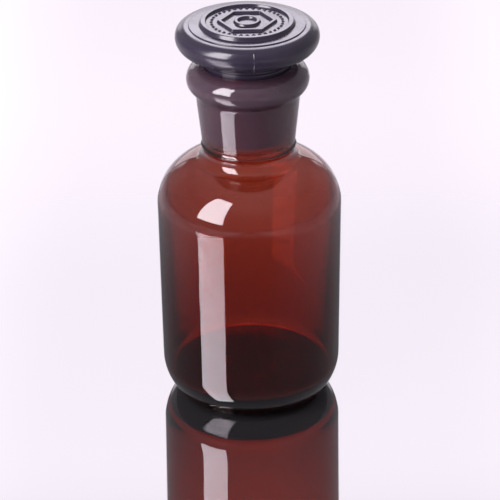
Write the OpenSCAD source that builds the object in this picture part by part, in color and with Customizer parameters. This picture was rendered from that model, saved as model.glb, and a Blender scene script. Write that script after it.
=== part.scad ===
// Wide-mouth reagent bottle in amber glass, with a ground-in flat-headed stopper.
// Two pieces: the blown bottle and the pressed stopper that lifts out of its neck.
// Frame: millimetres, +Z up, the origin on the axis in the plane that the bottle stands on.
// Each piece is one outline in the half plane (radius, height), turned about the axis.

/* [Body] */
// Outside diameter of the body where the shoulder starts
body_d = 70; // [66:1:76]
// How much smaller the wall's diameter would be at the base, because the mould tapers
body_taper = 1.6; // [0:0.2:3]
// Height of the centre of the shoulder's curve
shoulder_z = 79; // [60:1:110]
// Radius of the shoulder's curve
shoulder_r = 19.4; // [18:0.1:20]
// Radius of the heel's large curve
heel_r = 19.3; // [14:0.1:22]
// Radius of the tight curve between the heel and the base
foot_r = 6.5; // [4:0.5:9]
// Angle below level at which the heel's large curve passes into the tight one
heel_turn = 42; // [34:1:50]
// Width of the flat ring that the bottle stands on
rest_w = 3; // [1:0.5:6]

/* [Glass thickness] */
// Thickness of the glass in the shoulder and at the top of the wall
wall_t = 1.8; // [1.4:0.1:2.6]
// Thickness that the wall grows to above the inside floor
wall_low_t = 2.9; // [2.4:0.1:4]
// Thickness of the base at the axis
base_t = 4; // [3.4:0.2:8]
// Height of the dome under the base at the axis
push_up = 4.8; // [3.6:0.2:6]
// Radius of the curve between the wall and the floor inside
inner_heel_r = 2.5; // [2:0.1:8]

/* [Neck and lip] */
// Outside diameter of the neck at the fine ring round its foot
neck_d = 34.8; // [34:0.1:36]
// Angle between the neck's outside and the axis: it widens upwards
neck_flare = 6.25; // [3:0.25:7]
// Height of the mouth above the fine ring
neck_h = 32.3; // [28:0.1:40]
// Radius of the hollow curve between the shoulder and the neck
neck_fillet_r = 4.5; // [3:0.25:5]
// Radius of the fine ring's section
fine_ring_r = 0.6; // [0.3:0.1:1]
// Largest diameter of the rolled lip
lip_d = 46.1; // [45.2:0.1:50]
// Radius of the rolled lip's section
lip_r = 5.6; // [4.5:0.1:6]

/* [Ground joint] */
// Diameter of the ground bore at the mouth
bore_d = 33; // [32:0.1:33.6]
// Length over which the ground cone loses one unit of its diameter
cone_ratio = 10; // [8:1:20]
// Depth of the ground part of the bore
ground_h = 30; // [29:0.5:31]
// Length of the plug inside the bore
plug_h = 28.5; // [20:0.5:30]
// Gap between the seated plug and the bore, measured on the radius
joint_gap = 0.05; // [0.02:0.01:0.1]

/* [Stopper head] */
// Diameter of the stopper's head
head_d = 53.7; // [48:0.1:60]
// Gap between the lip and the underside of the head
head_gap = 5.2; // [3.6:0.1:10]
// Radius of the rounding on the lower half of the head's rim
rim_low_r = 6; // [4:0.1:7]
// Radius of the rounding on the upper half of the head's rim
rim_high_r = 4.1; // [2.5:0.1:4.8]
// Diameter of the stopper's neck between the plug and the head
stem_d = 32.2; // [30:0.1:32.6]
// Diameter of the low disc on top of the head
disc_d = 43.4; // [41:0.1:43.8]
// Height of the low disc
disc_h = 0.4; // [0.2:0.1:0.8]

/* [Stopper relief] */
// Diameter of the raised boss at its foot
boss_d = 35.6; // [33:0.1:38]
// Height of the raised boss
boss_h = 1.5; // [1.2:0.1:3]
// Width of the boss's plain border
border_w = 2.1; // [1.5:0.1:2.5]
// Depth of the panel inside the border
panel_t = 0.9; // [0.5:0.1:1.1]
// Distance from the axis to the outer corners of the six-sided frame
frame_r = 11.2; // [9:0.1:11.6]
// Width of the frame's and the middle ring's bars
bar_w = 1.7; // [1:0.1:2]
// Outside radius of the ring in the middle
middle_r = 5; // [4:0.1:5.5]
// Number of dots round the panel's edge
dot_count = 36; // [12:2:40]
// Radius of each dot
dot_r = 0.55; // [0.3:0.05:0.6]

/* [Hidden] */
$fn = 128;
arc_step = 3;      // degrees between two points of a curve
glass = "#6b2a20";
dark_glass = "#3d3744";
tiny = 0.01;

// Outside of the body: a straight tapered wall between the heel and the shoulder
taper = body_taper / 2 / shoulder_z;
taper_a = atan(taper);
shoulder_start_z = shoulder_z - shoulder_r * sin(taper_a);
shoulder_start_r = body_d / 2;
shoulder_c = [shoulder_start_r - shoulder_r * cos(taper_a), shoulder_z];
heel_z = foot_r + (heel_r - foot_r) * sin(heel_turn);
heel_end_z = heel_z - heel_r * sin(taper_a);
heel_c = [wall_r(heel_end_z) - heel_r * cos(taper_a), heel_z];
foot_c = [heel_c[0] + (heel_r - foot_r) * cos(heel_turn), foot_r];
rest_in_r = foot_c[0] - rest_w;

// Neck: a cone that a hollow curve joins to the shoulder
ring_rise = 5.6;   // from the shoulder's crown to the fine ring
ring_z = shoulder_z + shoulder_r + ring_rise;
mouth_z = ring_z + neck_h;
neck_side = neck_fillet_r / cos(neck_flare);
fillet_c = cone_meets(neck_side, shoulder_c, shoulder_r + neck_fillet_r, 1);
fillet_a = atan2(fillet_c[1] - shoulder_c[1], fillet_c[0] - shoulder_c[0]);
lip_c = [lip_d / 2 - lip_r, mouth_z - lip_r];
lip_foot = cone_meets(0, lip_c, lip_r, -1);
lip_foot_a = atan2(lip_foot[1] - lip_c[1], lip_foot[0] - lip_c[0]);

// Inside: the ground cone, the throat below it and the body's cavity, whose wall thickens downwards
edge_r = 0.5;      // rounding of the bore's edge at the mouth
bore_slope = 0.5 / cone_ratio;
bore_a = atan(bore_slope);
ground_end_z = mouth_z - ground_h;
throat_r = neck_fillet_r + wall_t;
floor_z = push_up + base_t;
inner_heel_z = floor_z + inner_heel_r;
inner_low_r = wall_r(inner_heel_z) - wall_low_t;
inner_a = atan((wall_r(shoulder_z) - wall_t - inner_low_r) / (shoulder_z - inner_heel_z));
inner_heel_c = [inner_low_r - inner_heel_r * cos(inner_a), inner_heel_z];

// Stopper, seated in the bore
plug_end_z = mouth_z - plug_h;
plug_round_r = 1;  // rounding of the plug's lower edge
plug_over = 1.6;   // how far the ground cone stands above the mouth
stem_fillet_r = 1.5;
head_low_z = mouth_z + head_gap;
rim_z = head_low_z + rim_low_r;
head_top_z = rim_z + rim_high_r;
disc_top_z = head_top_z + disc_h;
boss_top_z = disc_top_z + boss_h;
boss_draft = 0.5;  // how much the boss narrows towards its top, on the radius
panel_z = boss_top_z - panel_t;
dot_rise = 0.6;    // share of the panel's depth that a dot fills
panel_r = boss_d / 2 - boss_draft - border_w;
dots_r = (panel_r + frame_r) / 2;
dot_h = dot_rise * panel_t;

function wall_r(z) = shoulder_start_r - taper * (shoulder_start_z - z);
function neck_r(z) = neck_d / 2 + tan(neck_flare) * (z - ring_z);
function bore_r(z) = bore_d / 2 - bore_slope * (mouth_z - z);
function plug_r(z) = bore_r(z) - joint_gap;

// Points along an arc round centre c, from angle a to angle b
function arc(c, r, a, b) =
    let (n = max(2, ceil(abs(b - a) / arc_step)))
    [for (i = [0:n]) c + r * [cos(a + (b - a) * i / n), sin(a + (b - a) * i / n)]];

// The point at distance d from c on the neck's cone moved out by side: the upper one, or the lower where up is -1
function cone_meets(side, c, d, up) =
    let (m = tan(neck_flare))
    let (off = neck_r(c[1]) + side - c[0])
    let (h = (-off * m + up * sqrt(pow(off * m, 2) - (1 + m * m) * (off * off - d * d))) / (1 + m * m))
    [c[0] + off + m * h, c[1] + h];

// A shallow dome from height h on the axis down to level 0 at radius r
function dome(r, h) =
    let (s = (r * r + h * h) / (2 * h))
    arc([0, h - s], s, 90, 90 - asin(r / s));

function bottle_outside() = concat(
    arc(foot_c, foot_r, -90, -heel_turn),
    arc(heel_c, heel_r, -heel_turn, -taper_a),
    arc(shoulder_c, shoulder_r, -taper_a, fillet_a),
    arc(fillet_c, neck_fillet_r, 180 + fillet_a, 180 - neck_flare),
    arc([neck_r(ring_z), ring_z], fine_ring_r, -90 + neck_flare, 90 - neck_flare),
    arc(lip_c, lip_r, lip_foot_a, 90)
);

function bottle_inside() = concat(
    arc([bore_r(mouth_z) + edge_r, mouth_z - edge_r], edge_r, 90, 180 - bore_a),
    [[bore_r(ground_end_z), ground_end_z]],
    arc(fillet_c, throat_r, 180 - bore_a, 180 + fillet_a),
    arc(shoulder_c, shoulder_r - wall_t, fillet_a, -inner_a),
    arc(inner_heel_c, inner_heel_r, -inner_a, -90),
    [[0, floor_z]]
);

module bottle() {
    color(glass)
    rotate_extrude()
    polygon(concat(bottle_outside(), bottle_inside(), dome(rest_in_r, push_up)));
}

function stopper_outline() = concat(
    [[0, plug_end_z]],
    arc([plug_r(plug_end_z) - plug_round_r, plug_end_z + plug_round_r], plug_round_r, -90, -bore_a),
    [[plug_r(mouth_z + plug_over), mouth_z + plug_over]],
    [[stem_d / 2, mouth_z + plug_over + plug_r(mouth_z) - stem_d / 2]],
    arc([stem_d / 2 + stem_fillet_r, head_low_z - stem_fillet_r], stem_fillet_r, 180, 90),
    arc([head_d / 2 - rim_low_r, rim_z], rim_low_r, -90, 0),
    arc([head_d / 2 - rim_high_r, rim_z], rim_high_r, 0, 90),
    [[disc_d / 2, head_top_z], [disc_d / 2, disc_top_z]],
    [[boss_d / 2, disc_top_z], [boss_d / 2 - boss_draft, boss_top_z]],
    [[panel_r, boss_top_z], [panel_r, panel_z], [0, panel_z]]
);

module six_sided_frame() {
    difference() {
        circle(r = frame_r, $fn = 6);
        circle(r = frame_r - bar_w / cos(30), $fn = 6);
    }
}

module middle_ring() {
    difference() {
        circle(r = middle_r);
        circle(r = middle_r - bar_w);
    }
}

module stopper() {
    color(dark_glass) {
        rotate_extrude()
        polygon(stopper_outline());
        translate([0, 0, panel_z - tiny]) {
            linear_extrude(panel_t + tiny) six_sided_frame();
            linear_extrude(panel_t + tiny) middle_ring();
            for (i = [0:dot_count - 1])
                rotate(360 * i / dot_count)
                translate([dots_r, 0, 0])
                cylinder(h = dot_h + tiny, r = dot_r, $fn = 24);
        }
    }
}

bottle();
stopper();
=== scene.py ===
"""Looks of the wide-mouth reagent bottle and its flat-headed ground stopper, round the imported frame."""
import math

import bpy
import numpy as np
from mathutils import Matrix, Vector


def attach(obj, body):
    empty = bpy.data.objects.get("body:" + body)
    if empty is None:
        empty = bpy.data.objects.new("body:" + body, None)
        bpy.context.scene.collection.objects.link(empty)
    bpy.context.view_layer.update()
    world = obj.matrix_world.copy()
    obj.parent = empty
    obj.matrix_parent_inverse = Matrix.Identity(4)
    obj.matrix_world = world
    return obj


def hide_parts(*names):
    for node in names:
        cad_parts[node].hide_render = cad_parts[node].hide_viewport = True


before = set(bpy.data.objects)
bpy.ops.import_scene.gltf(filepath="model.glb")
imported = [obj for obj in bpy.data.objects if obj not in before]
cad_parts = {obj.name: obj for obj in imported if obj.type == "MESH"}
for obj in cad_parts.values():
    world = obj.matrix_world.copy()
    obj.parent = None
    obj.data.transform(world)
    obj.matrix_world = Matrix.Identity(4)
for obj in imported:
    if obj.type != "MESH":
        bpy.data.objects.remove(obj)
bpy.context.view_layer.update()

MM = 0.001

# ---- dimensions in millimetres, the same as the CAD source's ----
BODY_R = 35.0
TAPER = 0.8 / 79.0
SHOULDER_Z = 79.0
SHOULDER_R = 19.4
HEEL_R = 19.3
FOOT_R = 6.5
HEEL_TURN = 42.0
REST_W = 3.0
WALL_T = 1.8
WALL_LOW_T = 2.9
BASE_T = 4.0
PUSH_UP = 4.8
INNER_HEEL_R = 2.5
NECK_R = 17.4
NECK_FLARE = 6.25
FILLET_R = 4.5
RING_R = 0.6
RING_Z = 104.0
MOUTH_Z = 136.3
LIP_OUT_R = 23.05
LIP_R = 5.6
BORE_R = 16.5
BORE_SLOPE = 0.05
GROUND_H = 30.0
EDGE_R = 0.5
PLUG_H = 28.5
PLUG_OVER = 1.6
JOINT_GAP = 0.05
STEM_R = 16.1
STEM_FILLET_R = 1.5
HEAD_R = 26.85
HEAD_LOW_Z = 141.5
RIM_LOW_R = 6.0
RIM_HIGH_R = 4.1
DISC_R = 21.7
DISC_H = 0.4
BOSS_R = 17.8
BOSS_H = 1.5
BOSS_DRAFT = 0.5
BORDER_W = 2.1
PANEL_T = 0.9
FRAME_R = 11.2
BAR_W = 1.7
MIDDLE_R = 5.0
DOT_COUNT = 36
DOT_R = 0.55
DOT_RISE = 0.6

ARC_STEP = 2.0     # degrees between two points of a curve
FINE_STEP = 15     # the same for the smallest curves
FILLET_STEP = 4    # the same for the neck's fillet
DOME_STEP = 0.5    # the same for the dome under the base
WALL_STEP = 2.0    # millimetres between two points of a straight stretch
PANEL_STEP = 0.14  # millimetres between two rings of the relief's net
BOTTLE_SPOKES = 256
STOPPER_SPOKES = 360

SEAM_W = 0.3       # mould seams: half width and height, in millimetres
BOTTLE_SEAM_H = 0.07
STOPPER_SEAM_H = 0.14
BOTTLE_SEAMS = (0.0, 180.0)
STOPPER_SEAMS = (-84.5, 95.5)
OUTER_WAVE = 0.06  # how far the glass waves in and out, in millimetres
INNER_WAVE = 0.16
HEAD_WAVE = 0.05
EDGE_SOFT = 0.32   # width of the rounding along the relief's bars

TAPER_A = math.degrees(math.atan(TAPER))
BORE_A = math.degrees(math.atan(BORE_SLOPE))
FLARE = math.tan(math.radians(NECK_FLARE))
GROUND_END_Z = MOUTH_Z - GROUND_H
PLUG_END_Z = MOUTH_Z - PLUG_H
RIM_Z = HEAD_LOW_Z + RIM_LOW_R
HEAD_TOP_Z = RIM_Z + RIM_HIGH_R
DISC_TOP_Z = HEAD_TOP_Z + DISC_H
BOSS_TOP_Z = DISC_TOP_Z + BOSS_H
PANEL_Z = BOSS_TOP_Z - PANEL_T
PANEL_R = BOSS_R - BOSS_DRAFT - BORDER_W
DOTS_R = (PANEL_R + FRAME_R) / 2


# ---- outlines: lists of (radius, height) in millimetres ----
def polar(c, r, a):
    return (c[0] + r * math.cos(math.radians(a)), c[1] + r * math.sin(math.radians(a)))


def arc(c, r, a, b, step=ARC_STEP):
    n = max(2, math.ceil(abs(b - a) / step))
    return [polar(c, r, a + (b - a) * i / n) for i in range(n + 1)]


def neck_r(z):
    return NECK_R + FLARE * (z - RING_Z)


def bore_r(z):
    return BORE_R - BORE_SLOPE * (MOUTH_Z - z)


def cone_meets(side, c, d, up):
    off = neck_r(c[1]) + side - c[0]
    root = math.sqrt((off * FLARE) ** 2 - (1 + FLARE ** 2) * (off * off - d * d))
    h = (-off * FLARE + up * root) / (1 + FLARE ** 2)
    return (c[0] + off + FLARE * h, c[1] + h)


def dome(r, h):
    s = (r * r + h * h) / (2 * h)
    return arc((0, h - s), s, 90, 90 - math.degrees(math.asin(r / s)), DOME_STEP)


def filled_in(points, step):
    """The same line with extra points on its long straight stretches."""
    out = [points[0]]
    for (r0, z0), (r1, z1) in zip(points, points[1:]):
        n = max(1, math.ceil(math.hypot(r1 - r0, z1 - z0) / step))
        out += [(r0 + (r1 - r0) * i / n, z0 + (z1 - z0) * i / n) for i in range(1, n + 1)]
    return out


def without_doubles(points):
    out = [points[0]]
    for p in points[1:]:
        if math.hypot(p[0] - out[-1][0], p[1] - out[-1][1]) > 1e-4:
            out.append(p)
    return out


def rounded(points, corners):
    """Rounds the named corners: corners maps a point's index to the radius of its rounding."""
    out = []
    for i, p in enumerate(points):
        if i not in corners:
            out.append(p)
            continue
        a, b, c = Vector(points[i - 1]), Vector(p), Vector(points[i + 1])
        u, v = (a - b).normalized(), (c - b).normalized()
        half = u.angle(v) / 2
        reach = min(corners[i] / math.tan(half), 0.45 * (a - b).length, 0.45 * (c - b).length)
        for k in range(5):
            t = k / 4
            q = (b + u * reach) * (1 - t) ** 2 + b * 2 * t * (1 - t) + (b + v * reach) * t ** 2
            out.append((q.x, q.y))
    return out


def bottle_key_points():
    shoulder_start_z = SHOULDER_Z - SHOULDER_R * math.sin(math.radians(TAPER_A))

    def wall_r(z):
        return BODY_R - TAPER * (shoulder_start_z - z)

    cos_t, sin_t = math.cos(math.radians(TAPER_A)), math.sin(math.radians(TAPER_A))
    shoulder_c = (BODY_R - SHOULDER_R * cos_t, SHOULDER_Z)
    heel_z = FOOT_R + (HEEL_R - FOOT_R) * math.sin(math.radians(HEEL_TURN))
    heel_c = (wall_r(heel_z - HEEL_R * sin_t) - HEEL_R * cos_t, heel_z)
    foot_c = (heel_c[0] + (HEEL_R - FOOT_R) * math.cos(math.radians(HEEL_TURN)), FOOT_R)
    neck_side = FILLET_R / math.cos(math.radians(NECK_FLARE))
    fillet_c = cone_meets(neck_side, shoulder_c, SHOULDER_R + FILLET_R, 1)
    fillet_a = math.degrees(math.atan2(fillet_c[1] - shoulder_c[1], fillet_c[0] - shoulder_c[0]))
    lip_c = (LIP_OUT_R - LIP_R, MOUTH_Z - LIP_R)
    lip_foot = cone_meets(0, lip_c, LIP_R, -1)
    lip_a = math.degrees(math.atan2(lip_foot[1] - lip_c[1], lip_foot[0] - lip_c[0]))
    floor_z = PUSH_UP + BASE_T
    inner_top = (wall_r(SHOULDER_Z) - WALL_T, SHOULDER_Z)
    inner_low = (wall_r(floor_z + INNER_HEEL_R) - WALL_LOW_T, floor_z + INNER_HEEL_R)
    inner_a = math.degrees(math.atan((inner_top[0] - inner_low[0]) / (inner_top[1] - inner_low[1])))
    inner_c = (inner_low[0] - INNER_HEEL_R * math.cos(math.radians(inner_a)), inner_low[1])
    return shoulder_c, heel_c, foot_c, fillet_c, fillet_a, lip_c, lip_a, floor_z, inner_c, inner_a


def bottle_outline():
    (shoulder_c, heel_c, foot_c, fillet_c, fillet_a,
     lip_c, lip_a, floor_z, inner_c, inner_a) = bottle_key_points()
    outside = dome(foot_c[0] - REST_W, PUSH_UP)
    outside += arc(foot_c, FOOT_R, -90, -HEEL_TURN)
    outside += arc(heel_c, HEEL_R, -HEEL_TURN, -TAPER_A)
    outside += arc(shoulder_c, SHOULDER_R, -TAPER_A, fillet_a)
    outside += arc(fillet_c, FILLET_R, 180 + fillet_a, 180 - NECK_FLARE, FILLET_STEP)
    outside += arc((NECK_R, RING_Z), RING_R, -90 + NECK_FLARE, 90 - NECK_FLARE, FINE_STEP)
    outside += arc(lip_c, LIP_R, lip_a, 90)
    inside = arc((bore_r(MOUTH_Z) + EDGE_R, MOUTH_Z - EDGE_R), EDGE_R, 90, 180 - BORE_A, FINE_STEP)
    inside += [(bore_r(GROUND_END_Z), GROUND_END_Z)]
    inside += arc(fillet_c, FILLET_R + WALL_T, 180 - BORE_A, 180 + fillet_a, FILLET_STEP)
    inside += arc(shoulder_c, SHOULDER_R - WALL_T, fillet_a, -inner_a)
    inside += arc(inner_c, INNER_HEEL_R, -inner_a, -90)
    inside += [(0, floor_z)]
    return filled_in(without_doubles(outside), WALL_STEP), filled_in(without_doubles(inside), WALL_STEP)


def stopper_outline():
    plug_r = bore_r(PLUG_END_Z) - JOINT_GAP
    top_r = bore_r(MOUTH_Z + PLUG_OVER) - JOINT_GAP
    step_z = MOUTH_Z + PLUG_OVER + bore_r(MOUTH_Z) - JOINT_GAP - STEM_R
    line = [(0, PLUG_END_Z)]
    line += arc((plug_r - 1, PLUG_END_Z + 1), 1, -90, -BORE_A, FINE_STEP)
    start = len(line)
    line += [(top_r, MOUTH_Z + PLUG_OVER), (STEM_R, step_z)]
    corners = {start: 0.25, start + 1: 0.25}
    line += arc((STEM_R + STEM_FILLET_R, HEAD_LOW_Z - STEM_FILLET_R), STEM_FILLET_R, 180, 90, 10)
    line += arc((HEAD_R - RIM_LOW_R, RIM_Z), RIM_LOW_R, -90, 0)
    line += arc((HEAD_R - RIM_HIGH_R, RIM_Z), RIM_HIGH_R, 0, 90)[1:]
    step = len(line)
    line += [(DISC_R, HEAD_TOP_Z), (DISC_R, DISC_TOP_Z)]
    line += [(BOSS_R, DISC_TOP_Z), (BOSS_R - BOSS_DRAFT, BOSS_TOP_Z)]
    line += [(PANEL_R + 0.3, BOSS_TOP_Z), (PANEL_R, PANEL_Z)]
    roundings = (0.2, 0.25, 0.35, 0.45, 0.35, 0.2)
    corners.update({step + i: r for i, r in enumerate(roundings)})
    line += [(PANEL_R - 0.6, PANEL_Z)]
    return filled_in(without_doubles(rounded(line, corners)), WALL_STEP)


# ---- meshes ----
def smoothstep(x, low, high):
    t = np.clip((x - low) / (high - low), 0, 1)
    return t * t * (3 - 2 * t)


def ring_angles(count, seams, seam_w, radius):
    """Even angles in degrees, with closer ones across each mould seam."""
    even = [360 * i / count for i in range(count)]
    reach = math.degrees(2.4 * seam_w / radius)
    near = [s + reach * (k / 8 - 1) for s in seams for k in range(17)]
    kept = [a for a in even if all(abs((a - s + 180) % 360 - 180) > reach * 1.1 for s in seams)]
    return np.radians(sorted(a % 360 for a in kept + near))


def grid_faces(rows, count):
    """Quads between neighbouring rows of vertices; a row is (first index, True if it is a single point)."""
    faces = []
    for (a, a_point), (b, b_point) in zip(rows, rows[1:]):
        for k in range(count):
            n = (k + 1) % count
            if a_point:
                faces.append((a, b + n, b + k))
            elif b_point:
                faces.append((a + k, a + n, b))
            else:
                faces.append((a + k, a + n, b + n, b + k))
    return faces


def turned_mesh(name, outline, angles, shift):
    """Turns the outline about the axis. shift(r, z, angles) moves points along the outline's normal."""
    pts = np.array(outline, float)
    along = np.gradient(pts, axis=0)
    normal = np.stack([along[:, 1], -along[:, 0]], 1)
    normal /= np.linalg.norm(normal, axis=1)[:, None]
    verts, rows = [], []
    cos, sin = np.cos(angles), np.sin(angles)
    for (r, z), (nr, nz) in zip(pts, normal):
        if r < 1e-6:
            rows.append((len(verts), True))
            verts.append((0, 0, z))
            continue
        d = shift(r, z, angles)
        rr, zz = r + nr * d, z + nz * d
        rows.append((len(verts), False))
        verts += list(zip(rr * cos, rr * sin, zz))
    mesh = bpy.data.meshes.new(name)
    mesh.from_pydata([tuple(c * MM for c in v) for v in verts], [], grid_faces(rows, len(angles)))
    mesh.validate()
    mesh.shade_smooth()
    obj = bpy.data.objects.new(name, mesh)
    bpy.context.scene.collection.objects.link(obj)
    return obj


def waves(seed, count, low, high):
    """A fixed set of gentle waves over (angle, height), as (turns, cycles per mm, phase, share)."""
    rng = np.random.default_rng(seed)
    return [
        (int(rng.integers(1, 6)), rng.uniform(low, high), rng.uniform(0, 2 * math.pi), rng.uniform(0.4, 1))
        for _ in range(count)
    ]


def wavy(field, z, angles):
    total = sum(w * np.sin(n * angles + 2 * math.pi * f * z + p) for n, f, p, w in field)
    return total / len(field)


def seam_ridge(angles, r, seams, height):
    """A low ridge along each mould seam."""
    turn = 2 * math.pi
    away = [np.abs((angles - math.radians(s) + math.pi) % turn - math.pi) for s in seams]
    return height * np.exp(-((np.min(away, axis=0) * r / SEAM_W) ** 2))


def make_bottle():
    outside, inside = bottle_outline()
    outer_waves = waves(3, 7, 0.002, 0.012)
    inner_waves = waves(11, 9, 0.004, 0.02)
    inner_top = GROUND_END_Z - 3
    inner_points = {(round(r, 4), round(z, 4)) for r, z in inside}

    def shift(r, z, angles):
        if (round(r, 4), round(z, 4)) in inner_points:
            in_body = float(smoothstep(z, 8, 14) * (1 - smoothstep(z, inner_top - 8, inner_top)))
            return INNER_WAVE * in_body * wavy(inner_waves, z, angles)
        on_wall = float(smoothstep(z, 6, 16) * (1 - smoothstep(z, 118, 124)))
        d = OUTER_WAVE * on_wall * wavy(outer_waves, z, angles)
        return d + seam_ridge(angles, r, BOTTLE_SEAMS, BOTTLE_SEAM_H) * on_wall

    angles = ring_angles(BOTTLE_SPOKES, BOTTLE_SEAMS, SEAM_W, 30)
    return turned_mesh("bottle_glass", outside + inside, angles, shift)


def frame_distance(x, y):
    """How far a point lies outside the six-sided frame's outer edge."""
    inner = FRAME_R * math.cos(math.radians(30))
    sides = np.radians(range(30, 390, 60))
    return np.max([x * math.cos(a) + y * math.sin(a) for a in sides], axis=0) - inner


def relief_height(x, y):
    """Height of the relief above the panel, in millimetres."""
    half = BAR_W / 2
    bar = np.abs(frame_distance(x, y) + half) - half
    r = np.hypot(x, y)
    ring = np.abs(r - (MIDDLE_R - half)) - half
    h = (1 - smoothstep(np.minimum(bar, ring), -EDGE_SOFT, 0.08)) * PANEL_T
    step = 2 * math.pi / DOT_COUNT
    a = np.arctan2(y, x)
    off = (a + step / 2) % step - step / 2
    dot = np.hypot(r * np.cos(off) - DOTS_R, r * np.sin(off))
    return np.maximum(h, (1 - smoothstep(dot, 0.15, DOT_R + 0.12)) * DOT_RISE * PANEL_T)


def make_stopper():
    outline = stopper_outline()
    angles = ring_angles(STOPPER_SPOKES, STOPPER_SEAMS, SEAM_W, HEAD_R)
    dimples = waves(23, 9, 0.01, 0.05)

    def shift(r, z, angles):
        above = smoothstep(z, HEAD_LOW_Z - 1, HEAD_LOW_Z + 1)
        on_rim = float(above * (1 - smoothstep(z, HEAD_TOP_Z - 1.5, HEAD_TOP_Z)))
        ridge = seam_ridge(angles, r, STOPPER_SEAMS, STOPPER_SEAM_H)
        return on_rim * (ridge + HEAD_WAVE * wavy(dimples, z, angles))

    stopper = turned_mesh("stopper_glass", outline, angles, shift)
    add_panel(stopper, outline[-1], angles)
    return stopper


def add_panel(stopper, edge, angles):
    """Closes the top with the panel and its relief, as a polar net that shares the outline's last ring."""
    mesh = stopper.data
    verts = [tuple(v.co) for v in mesh.vertices]
    faces = [tuple(p.vertices) for p in mesh.polygons]
    rows = [(len(verts) - len(angles), False)]
    radii = np.arange(edge[0] - PANEL_STEP, 0.2, -PANEL_STEP)
    for r in radii:
        x, y = r * np.cos(angles), r * np.sin(angles)
        rows.append((len(verts), False))
        verts += list(zip(x * MM, y * MM, (PANEL_Z + relief_height(x, y)) * MM))
    rows.append((len(verts), True))
    verts.append((0, 0, PANEL_Z * MM))
    mesh.clear_geometry()
    mesh.from_pydata(verts, [], faces + grid_faces(rows, len(angles)))
    mesh.validate()
    mesh.shade_smooth()


# ---- materials ----
class Nodes:
    """A short way to add and link shader nodes."""

    def __init__(self, tree):
        self.tree = tree

    def add(self, kind, values=None, **settings):
        node = self.tree.nodes.new(kind)
        for key, value in settings.items():
            setattr(node, key, value)
        for key, value in (values or {}).items():
            if isinstance(value, bpy.types.NodeSocket):
                self.tree.links.new(value, node.inputs[key])
            else:
                node.inputs[key].default_value = value
        return node

    def math(self, operation, a, b=0.0):
        return self.add("ShaderNodeMath", {0: a, 1: b}, operation=operation).outputs[0]

    def band(self, value, low, high, to_low=0.0, to_high=1.0):
        values = {"Value": value, "From Min": low, "From Max": high, "To Min": to_low, "To Max": to_high}
        return self.add("ShaderNodeMapRange", values, interpolation_type="SMOOTHSTEP").outputs["Result"]

    def noise(self, where, scale, detail=2.0, rough=0.5):
        values = {"Vector": where, "Scale": scale, "Detail": detail, "Roughness": rough}
        return self.add("ShaderNodeTexNoise", values).outputs["Fac"]

    def mix(self, factor, a, b):
        return self.add("ShaderNodeMix", {"Factor": factor, 6: a, 7: b}, data_type="RGBA").outputs[2]


def new_material(name):
    material = bpy.data.materials.new(name)
    material.use_nodes = True
    material.node_tree.nodes.clear()
    return material, Nodes(material.node_tree)


def place(nodes):
    """Object position in metres, its radius from the axis and its height."""
    where = nodes.add("ShaderNodeTexCoord").outputs["Object"]
    parts = nodes.add("ShaderNodeSeparateXYZ", {"Vector": where}).outputs
    flat = nodes.add("ShaderNodeCombineXYZ", {"X": parts["X"], "Y": parts["Y"]}).outputs[0]
    radius = nodes.add("ShaderNodeVectorMath", {0: flat}, operation="LENGTH").outputs["Value"]
    return where, radius, parts["Z"]


AMBER_DENSITY = 1240.0     # the glass takes off density times (1 - colour) per metre
AMBER_COLOR = (0.692, 0.250, 0.073, 1)
PAINTED_SHEEN_SHARE = (0.027, 0.040)      # painted sheen: how much dull violet-grey veil is painted over the neck and over the lip


def amber_glass():
    material, n = new_material("amber_glass")
    where, radius, z = place(n)
    bore_edge = ((BORE_R + 0.12) * MM, (BORE_R + 0.18) * MM)
    ground_from = n.band(z, (GROUND_END_Z - 0.3) * MM, (GROUND_END_Z + 0.3) * MM)
    ground = n.math("MULTIPLY", ground_from, n.band(radius, *bore_edge, 1, 0))
    rest = n.band(z, 0.0001, 0.0004, 1, 0)
    # painted sheen: the outside of the neck and the lip gets a violet-grey colour and a dull veil that stand
    # in for reflected light
    painted_sheen_zone = n.math("MULTIPLY", n.band(z, 0.1065, 0.1100), n.band(radius, *bore_edge))
    smudge = n.band(n.noise(where, 60, 4, 0.6), 0.5, 0.75, 0, 0.035)
    scratches = n.band(n.noise(where, 900, 3, 0.7), 0.35, 0.65, 0.1, 0.16)
    grain = n.band(n.noise(where, 4000, 2), 0.3, 0.7, 0.3, 0.48)
    rough = n.math("MAXIMUM", smudge, n.math("MULTIPLY", ground, grain))
    rough = n.math("MAXIMUM", rough, n.math("MULTIPLY", rest, scratches))
    clear = n.mix(n.noise(where, 25, 3), (1, 1, 1, 1), (0.95, 0.94, 0.93, 1))
    painted_sheen_color = n.mix(n.noise(where, 140, 4, 0.6), (0.95, 0.55, 0.75, 1), (0.8, 0.5, 0.75, 1))
    tint_and_painted_sheen = n.mix(painted_sheen_zone, clear, painted_sheen_color)
    painted_sheen = n.math("MULTIPLY", painted_sheen_zone, n.band(z, 0.1220, 0.1270, *PAINTED_SHEEN_SHARE))
    through = n.math("SUBTRACT", 1.0, painted_sheen)
    ripple = n.noise(where, 90, 2)
    bump = n.add("ShaderNodeBump", {"Strength": 0.12, "Distance": 0.0002, "Height": ripple})
    frost = n.add("ShaderNodeBump", {"Strength": n.math("MULTIPLY", ground, 0.25), "Distance": 0.0001,
                                     "Height": n.noise(where, 2500, 2), "Normal": bump.outputs[0]})
    shader = n.add("ShaderNodeBsdfPrincipled", {
        "Base Color": tint_and_painted_sheen, "Roughness": rough, "IOR": 1.52, "Transmission Weight": through,
        "Normal": frost.outputs[0]})
    volume = n.add("ShaderNodeVolumeAbsorption", {"Color": AMBER_COLOR, "Density": AMBER_DENSITY})
    n.add("ShaderNodeOutputMaterial", {"Surface": shader.outputs[0], "Volume": volume.outputs[0]})
    return material


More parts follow.
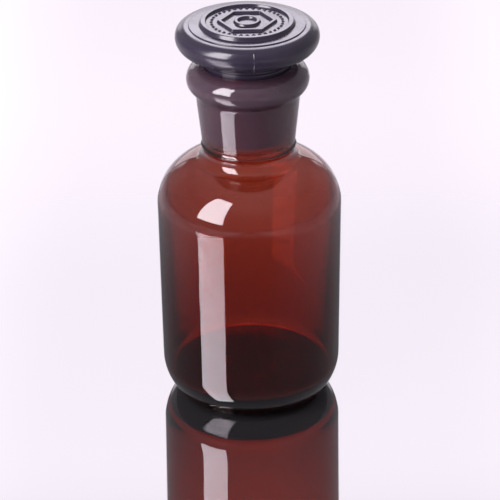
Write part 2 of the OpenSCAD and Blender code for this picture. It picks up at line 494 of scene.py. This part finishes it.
def dark_glass():
    material, n = new_material("dark_glass")
    where, _, z = place(n)
    ground = n.band(z, (MOUTH_Z - 1.3) * MM, (MOUTH_Z - 0.7) * MM, 1, 0)
    cloud = n.noise(where, 45, 4, 0.6)
    body = n.mix(cloud, (0.011, 0.008, 0.017, 1), (0.017, 0.013, 0.025, 1))
    frosted = n.mix(n.noise(where, 700, 3), (0.17, 0.145, 0.15, 1), (0.26, 0.225, 0.23, 1))
    color = n.mix(ground, body, frosted)
    smudge = n.band(n.noise(where, 110, 4, 0.65), 0.35, 0.75, 0.17, 0.28)
    grain = n.band(n.noise(where, 4000, 2), 0.3, 0.7, 0.45, 0.6)
    wear = n.math("MULTIPLY", n.band(z, BOSS_TOP_Z * MM - 0.0001, BOSS_TOP_Z * MM),
                  n.band(n.noise(where, 1300, 3, 0.7), 0.5, 0.7, 0, 0.2))
    rough = n.math("MAXIMUM", n.math("MAXIMUM", smudge, wear), n.math("MULTIPLY", ground, grain))
    skin = n.add("ShaderNodeBump", {"Strength": 0.25, "Distance": 0.0002, "Height": n.noise(where, 260, 3)})
    frost = n.add("ShaderNodeBump", {"Strength": n.math("MULTIPLY", ground, 0.3), "Distance": 0.0001,
                                     "Height": n.noise(where, 2500, 2), "Normal": skin.outputs[0]})
    shader = n.add("ShaderNodeBsdfPrincipled", {
        "Base Color": color, "Roughness": rough, "IOR": 1.47, "Normal": frost.outputs[0]})
    n.add("ShaderNodeOutputMaterial", {"Surface": shader.outputs[0]})
    return material


def floor_material():
    """Half a mirror near the bottle, duller to the sides and behind."""
    material, n = new_material("floor")
    where = n.add("ShaderNodeTexCoord").outputs["Object"]
    parts = n.add("ShaderNodeSeparateXYZ", {"Vector": where}).outputs
    front = n.math("MULTIPLY", parts["Y"], -1.0)
    side = n.math("ABSOLUTE", parts["X"])
    gloss = n.add("ShaderNodeBsdfAnisotropic", {"Color": (1.0, 0.97, 1.0, 1), "Roughness": 0.02})
    dull = n.add("ShaderNodeBsdfDiffuse", {"Color": (0.82, 0.78, 0.83, 1)})
    behind = n.band(parts["Y"], 0.06, 0.3)
    near = n.band(front, 0.05, 0.2, 0.48, 0.36)
    mirror_share = n.math("SUBTRACT", near, n.math("MULTIPLY", behind, 0.22))
    dull_share = n.math("ADD", n.band(side, 0.07, 0.25, 0.01, 0.3), n.math("MULTIPLY", behind, 0.34))
    dull_share = n.math("MINIMUM", n.math("ADD", dull_share, n.band(front, 0.15, 0.5, 0, 0.14)), 0.42)
    shared = n.add("ShaderNodeAddShader", {0: scaled(n, gloss, mirror_share), 1: scaled(n, dull, dull_share)})
    n.add("ShaderNodeOutputMaterial", {"Surface": shared.outputs[0]})
    return material


def scaled(n, shader, share):
    """The shader at a share of its strength, the rest absorbed."""
    black = n.add("ShaderNodeBsdfDiffuse", {"Color": (0, 0, 0, 1)})
    return n.add("ShaderNodeMixShader", {"Fac": share, 1: black.outputs[0], 2: shader.outputs[0]}).outputs[0]


# ---- studio ----
PALE = (0.96, 0.92, 0.98, 1)
FLOOR_HALF = 30.0
FLOOR_DROP = 0.00002     # keeps the floor just clear of the ring that the bottle stands on
WALL_LIGHT = 1.6
SOFTBOX_POWER = 47
CARD_POWER = 0.36


def make_floor():
    mesh = bpy.data.meshes.new("floor")
    s = FLOOR_HALF
    mesh.from_pydata([(-s, -s, 0), (s, -s, 0), (s, s, 0), (-s, s, 0)], [], [(0, 1, 2, 3)])
    floor = bpy.data.objects.new("floor", mesh)
    floor.location.z = -FLOOR_DROP
    bpy.context.scene.collection.objects.link(floor)
    mesh.materials.append(floor_material())


def make_world():
    """Pale all round. Reflections see a bright wall behind the bottle and a dimmer room elsewhere."""
    world = bpy.data.worlds.new("studio")
    bpy.context.scene.world = world
    world.use_nodes = True
    world.node_tree.nodes.clear()
    n = Nodes(world.node_tree)
    direction = n.add("ShaderNodeTexCoord").outputs["Generated"]
    parts = n.add("ShaderNodeSeparateXYZ", {"Vector": direction}).outputs
    level = n.math("SQRT", n.math("SUBTRACT", 1.0001, n.math("MULTIPLY", parts["Z"], parts["Z"])))
    aside = n.math("DIVIDE", n.math("ABSOLUTE", parts["X"]), level)
    narrowed = n.math("ADD", aside, n.band(parts["Z"], 0.27, 0.38, 0, 0.26))
    behind = n.math("MULTIPLY", n.band(narrowed, 0.39, 0.52, 1, 0), n.band(parts["Y"], 0, 0.1))
    wall = n.math("MULTIPLY", behind, n.band(parts["Z"], 0.76, 0.88, 1, 0))
    beside = n.math("MULTIPLY", n.band(aside, 0.35, 0.65, 0, 0.2), n.band(parts["Z"], 0.4, 0.6, 1, 0))
    room = n.math("ADD", n.band(parts["Z"], 0.3, 0.9, 0.3, 0.6), beside)
    reflected = n.math("ADD", n.math("MULTIPLY", wall, WALL_LIGHT), room)
    path = n.add("ShaderNodeLightPath").outputs
    is_mirror = n.math("MULTIPLY", path["Is Reflection Ray"], path["Is Glossy Ray"])
    plain = n.math("ADD", n.math("MULTIPLY", path["Is Transmission Ray"], 0.75), 1.0)
    choice = {"Factor": is_mirror, 2: plain, 3: reflected}
    strength = n.add("ShaderNodeMix", choice, data_type="FLOAT").outputs[0]
    background = n.add("ShaderNodeBackground", {"Color": PALE, "Strength": strength})
    n.add("ShaderNodeOutputWorld", {"Surface": background.outputs[0]})


def make_softbox():
    """A tall soft light to the camera's left, as a window would be."""
    azimuth = math.radians(50)
    toward = Vector((-math.sin(azimuth), -math.cos(azimuth), 0))
    low, high, width, away = 0.25, 1.75, 0.62, 1.0
    light = bpy.data.lights.new("softbox", "AREA")
    light.shape = "RECTANGLE"
    light.size = width
    light.size_y = high - low
    light.energy = SOFTBOX_POWER
    light.color = (1.0, 0.94, 1.0)
    box = bpy.data.objects.new("softbox", light)
    box.location = toward * away + Vector((0, 0, (low + high) / 2))
    box.rotation_mode = "QUATERNION"
    box.rotation_quaternion = toward.to_track_quat("Z", "Y")
    box.visible_camera = False
    box.visible_transmission = False
    bpy.context.scene.collection.objects.link(box)


def make_back_card():
    """A bright card behind the bottle, above what the camera sees, for the top of the stopper to mirror."""
    width, low, high, away = 0.13, 0.236, 0.50, 0.25
    light = bpy.data.lights.new("back_card", "AREA")
    light.shape = "RECTANGLE"
    light.size = width
    light.size_y = high - low
    light.energy = CARD_POWER
    light.color = (0.92, 0.84, 1.0)
    card = bpy.data.objects.new("back_card", light)
    card.location = (0, away, (low + high) / 2)
    card.rotation_euler = (math.radians(-90), 0, 0)
    card.visible_camera = False
    card.visible_diffuse = False
    card.visible_transmission = False
    bpy.context.scene.collection.objects.link(card)


def make_camera():
    elevation, distance, roll = math.radians(27.169), 0.991, 0.0126
    target = Vector((0, 0, 0.05818))
    ahead = Vector((0, math.cos(elevation), -math.sin(elevation)))
    right = Vector((1, 0, 0))
    up = right.cross(ahead)
    across = right * math.cos(roll) - up * math.sin(roll)
    upward = right * math.sin(roll) + up * math.cos(roll)
    data = bpy.data.cameras.new("camera")
    data.sensor_width = 36
    data.lens = 185.3
    data.clip_start = 0.01
    data.clip_end = 100
    camera = bpy.data.objects.new("camera", data)
    axes = Matrix((across, upward, -ahead)).transposed()
    camera.matrix_world = Matrix.Translation(target - ahead * distance) @ axes.to_4x4()
    bpy.context.scene.collection.objects.link(camera)
    bpy.context.scene.camera = camera


def set_view():
    scene = bpy.context.scene
    scene.view_settings.view_transform = "Standard"
    scene.cycles.max_bounces = 32
    scene.cycles.transmission_bounces = 32
    scene.cycles.glossy_bounces = 12
    scene.cycles.blur_glossy = 0.1


def dress(piece, material, body, node):
    piece.data.materials.append(material)
    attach(piece, body)
    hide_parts(node)


dress(make_bottle(), amber_glass(), "bottle", "bottle")
dress(make_stopper(), dark_glass(), "stopper", "stopper")
make_floor()
make_world()
make_softbox()
make_back_card()
make_camera()
set_view()
